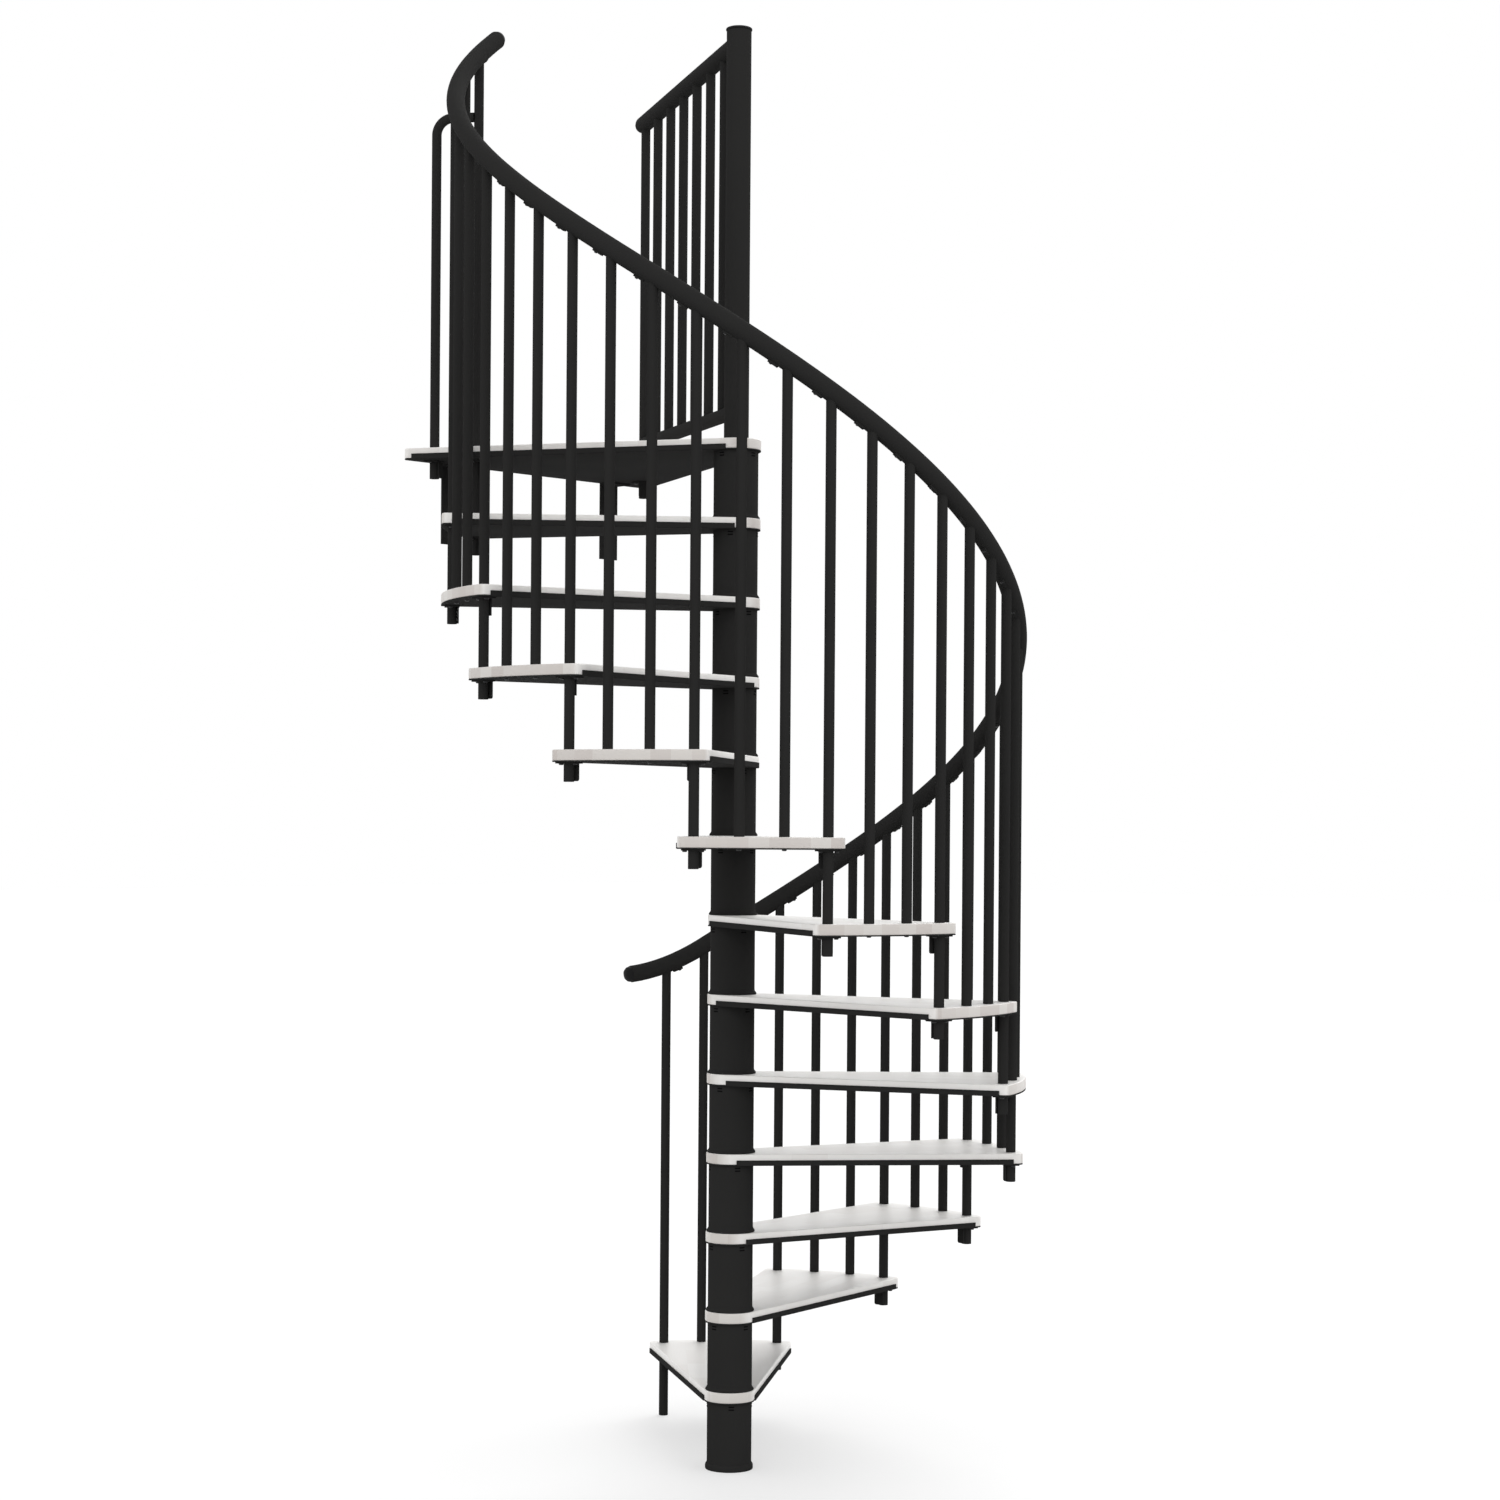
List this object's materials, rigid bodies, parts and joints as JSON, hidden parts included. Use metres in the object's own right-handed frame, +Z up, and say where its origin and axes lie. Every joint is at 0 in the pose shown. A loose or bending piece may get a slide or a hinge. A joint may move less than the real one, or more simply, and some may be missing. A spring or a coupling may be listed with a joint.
{
  "type": "spiral staircase",
  "caption": "Spiral stair of wood wedge treads in black steel trays on a spacer pole, with a triangular landing, tube balusters, a helical handrail and a landing guard.",
  "frame": {"origin": "middle of the base flange's underside, on the pole's axis, at floor level", "axes": "+Z up along the pole; -X towards the slab edge that the landing's straight outer side meets; the stair climbs clockwise seen from above"},
  "size_m": [1.641, 1.6, 4.0097],
  "materials": {
    "black_steel": "fine matt black powder coat",
    "black_plastic": "matt moulded caps",
    "wood_board": "edge-glued board in a pale limed lacquer"
  },
  "bodies": {
    "root": {"base_flange": "black_steel", "centre_tube": "black_steel", "pole_spacers": "black_steel", "newel_post": "black_steel", "newel_cap": "black_plastic", "tread_board_1": "wood_board", "tread_board_2": "wood_board", "tread_board_3": "wood_board", "tread_board_4": "wood_board", "tread_board_5": "wood_board", "tread_board_6": "wood_board", "tread_board_7": "wood_board", "tread_board_8": "wood_board", "tread_board_9": "wood_board", "tread_board_10": "wood_board", "tread_board_11": "wood_board", "tread_board_12": "wood_board", "tread_tray_1": "black_steel", "tread_tray_2": "black_steel", "tread_tray_3": "black_steel", "tread_tray_4": "black_steel", "tread_tray_5": "black_steel", "tread_tray_6": "black_steel", "tread_tray_7": "black_steel", "tread_tray_8": "black_steel", "tread_tray_9": "black_steel", "tread_tray_10": "black_steel", "tread_tray_11": "black_steel", "tread_tray_12": "black_steel", "landing_board": "wood_board", "landing_tray": "black_steel", "corner_balusters": "black_steel", "middle_balusters": "black_steel", "handrail": "black_steel", "handrail_ends": "black_plastic", "handrail_clips": "black_steel", "baluster_brackets": "black_steel", "guard_top_rail": "black_steel", "guard_bottom_rail": "black_steel", "guard_balusters": "black_steel", "corner_rail": "black_steel", "slab_plates": "black_steel"}
  },
  "joints": []
}
